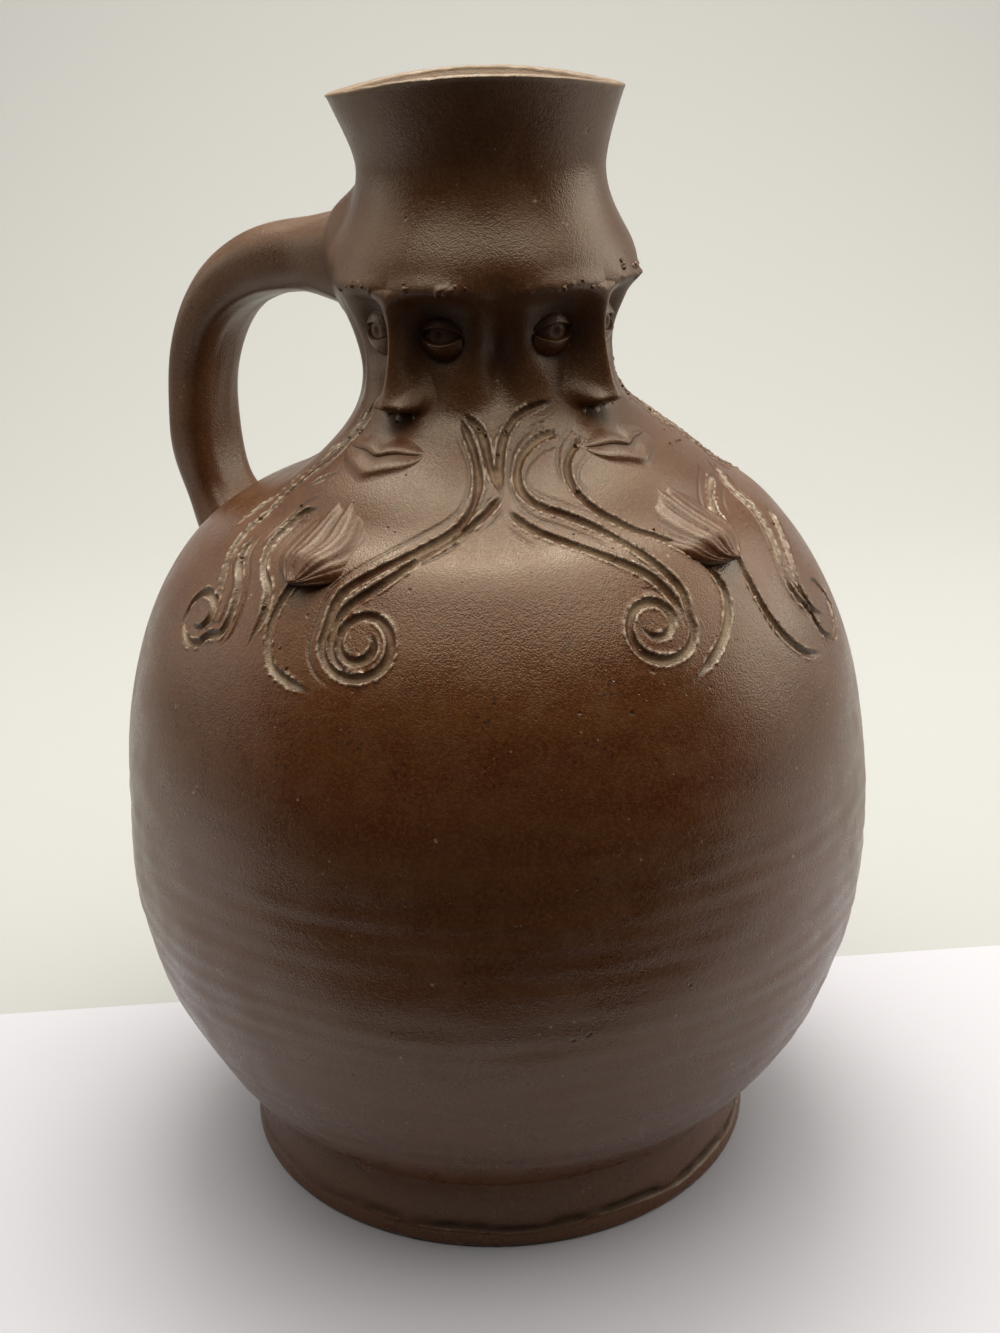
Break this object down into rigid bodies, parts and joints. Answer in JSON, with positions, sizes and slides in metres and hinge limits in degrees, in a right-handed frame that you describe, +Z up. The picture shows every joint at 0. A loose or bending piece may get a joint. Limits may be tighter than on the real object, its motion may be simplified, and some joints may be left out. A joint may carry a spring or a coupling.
{
  "type": "stoneware face jug",
  "caption": "Salt-glazed stoneware jug with a round belly, a spreading foot, a flared collar modelled with bearded faces, and a strap handle, for storing and pouring liquid.",
  "frame": {"origin": "centre of the flat base on the standing surface", "axes": "+Z up along the thrown axis; +Y towards the handle; the middle face looks roughly along -Y"},
  "size_m": [0.2142, 0.2191, 0.3053],
  "materials": {
    "salt_glaze_belly": "satin salt glaze, brown with orange peel and dark specks",
    "salt_glaze_collar": "satin salt glaze, lighter brown, grey-tan at the worn rim",
    "salt_glaze_modelling": "satin salt glaze pooled dark in the hollows of the modelling"
  },
  "bodies": {
    "root": {"body": "salt_glaze_belly", "foot": "salt_glaze_belly", "neck": "salt_glaze_collar", "handle": "salt_glaze_collar", "left_nose": "salt_glaze_modelling", "left_upper_lip": "salt_glaze_modelling", "left_lower_lip": "salt_glaze_modelling", "left_chin_tuft": "salt_glaze_modelling", "left_eyeball_a": "salt_glaze_modelling", "left_upper_lid_a": "salt_glaze_modelling", "left_lower_lid_a": "salt_glaze_modelling", "left_eyeball_b": "salt_glaze_modelling", "left_upper_lid_b": "salt_glaze_modelling", "left_lower_lid_b": "salt_glaze_modelling", "middle_nose": "salt_glaze_modelling", "middle_upper_lip": "salt_glaze_modelling", "middle_lower_lip": "salt_glaze_modelling", "middle_chin_tuft": "salt_glaze_modelling", "middle_eyeball_a": "salt_glaze_modelling", "middle_upper_lid_a": "salt_glaze_modelling", "middle_lower_lid_a": "salt_glaze_modelling", "middle_eyeball_b": "salt_glaze_modelling", "middle_upper_lid_b": "salt_glaze_modelling", "middle_lower_lid_b": "salt_glaze_modelling", "right_nose": "salt_glaze_modelling", "right_upper_lip": "salt_glaze_modelling", "right_lower_lip": "salt_glaze_modelling", "right_chin_tuft": "salt_glaze_modelling", "right_eyeball_a": "salt_glaze_modelling", "right_upper_lid_a": "salt_glaze_modelling", "right_lower_lid_a": "salt_glaze_modelling", "right_eyeball_b": "salt_glaze_modelling", "right_upper_lid_b": "salt_glaze_modelling", "right_lower_lid_b": "salt_glaze_modelling"}
  },
  "joints": []
}
